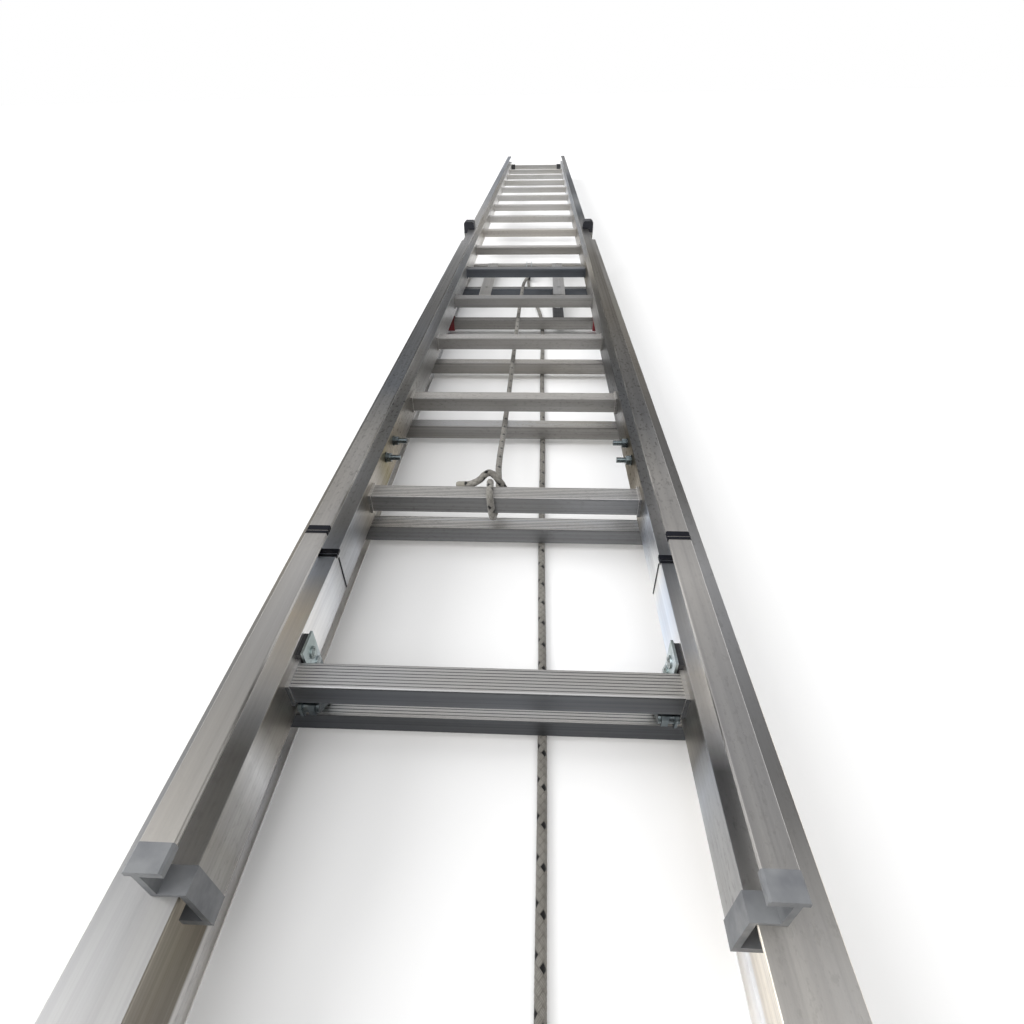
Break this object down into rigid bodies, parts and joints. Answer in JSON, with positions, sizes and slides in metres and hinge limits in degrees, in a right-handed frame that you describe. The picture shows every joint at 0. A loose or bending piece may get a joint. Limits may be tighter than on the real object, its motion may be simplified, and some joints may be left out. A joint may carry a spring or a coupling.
{
  "type": "extension ladder",
  "caption": "Two-section aluminium extension ladder with a sliding fly section, rung locks, rope hoist over a pulley, end guides and rubber feet.",
  "frame": {"origin": "middle of the ladder's length and width, on the surface that the base rails' backs lie on", "axes": "+X across the ladder to the climber's right, +Y up the ladder from the feet to the top, +Z out of the rungs towards the climber"},
  "size_m": [0.486, 7.516, 0.1782],
  "materials": {
    "fly_rail": "brushed mill finish",
    "base_rail": "brushed mill finish",
    "rung": "grooved, satin",
    "brace": "grooved, satin",
    "zinc_plate": "zinc plated",
    "fastener": "zinc plated",
    "black_plastic": "moulded",
    "end_cap": "moulded",
    "band": "satin",
    "nylon": "satin",
    "red_plastic": "satin",
    "rubber": "ribbed",
    "pulley": "satin",
    "rope": "braided, with dark flecks"
  },
  "bodies": {
    "base": {"base_rail_left": "base_rail", "base_rail_right": "base_rail", "base_rung_01": "rung", "base_rung_02": "rung", "base_rung_03": "rung", "base_rung_04": "rung", "base_rung_05": "rung", "base_rung_06": "rung", "base_rung_07": "rung", "base_rung_08": "rung", "base_rung_09": "rung", "base_rung_10": "rung", "base_rung_11": "rung", "base_rung_12": "rung", "base_rung_13": "rung", "base_rung_14": "rung", "base_rung_15": "rung", "base_rung_16": "rung", "top_guide_left": "black_plastic", "top_guide_right": "black_plastic", "rung_sleeves": "red_plastic", "feet": "rubber", "base_bolts": "fastener", "pulley_bracket": "zinc_plate", "pulley_axle": "fastener", "brace_plates": "brace", "rope_cleat": "black_plastic", "hoist_rope": "rope", "fall_rope": "rope", "rope_hank": "rope"},
    "fly": {"fly_rail_left": "fly_rail", "fly_rail_right": "fly_rail", "fly_rung_01": "rung", "fly_rung_02": "rung", "fly_rung_03": "rung", "fly_rung_04": "rung", "fly_rung_05": "rung", "fly_rung_06": "rung", "fly_rung_07": "rung", "fly_rung_08": "rung", "fly_rung_09": "rung", "fly_rung_10": "rung", "fly_rung_11": "rung", "fly_rung_12": "rung", "fly_rung_13": "rung", "fly_rung_14": "rung", "fly_rung_15": "rung", "fly_rung_16": "rung", "fly_end_caps": "end_cap", "top_rung_sleeves": "black_plastic", "rail_bands": "band", "guide_shoes": "nylon", "guide_bolts": "fastener", "lock_plate_left": "zinc_plate", "lock_plate_right": "zinc_plate", "lock_spacers": "black_plastic", "lock_bolts": "fastener"},
    "pulley_wheel": {"pulley_wheel": "pulley"},
    "lock_hook_left": {"lock_hook_left": "zinc_plate"},
    "lock_hook_right": {"lock_hook_right": "zinc_plate"}
  },
  "joints": [
    {"name": "fly_slide", "type": "slide", "parent": "base", "child": "fly", "axis": [0, 1, 0], "range_m": [-2.7, 0.9], "deforming": ["hoist_rope"]},
    {"name": "pulley_spin", "type": "hinge", "parent": "base", "child": "pulley_wheel", "pos_m": [0.004, 0.907, 0.0256], "axis": [1, 0, 0], "continuous": true},
    {"name": "lock_hook_left_pivot", "type": "hinge", "parent": "fly", "child": "lock_hook_left", "pos_m": [-0.167, -0.844, 0.069], "axis": [1, 0, 0], "range_deg": [0, 28]},
    {"name": "lock_hook_right_pivot", "type": "hinge", "parent": "fly", "child": "lock_hook_right", "pos_m": [0.167, -0.844, 0.069], "axis": [1, 0, 0], "range_deg": [0, 28]}
  ]
}
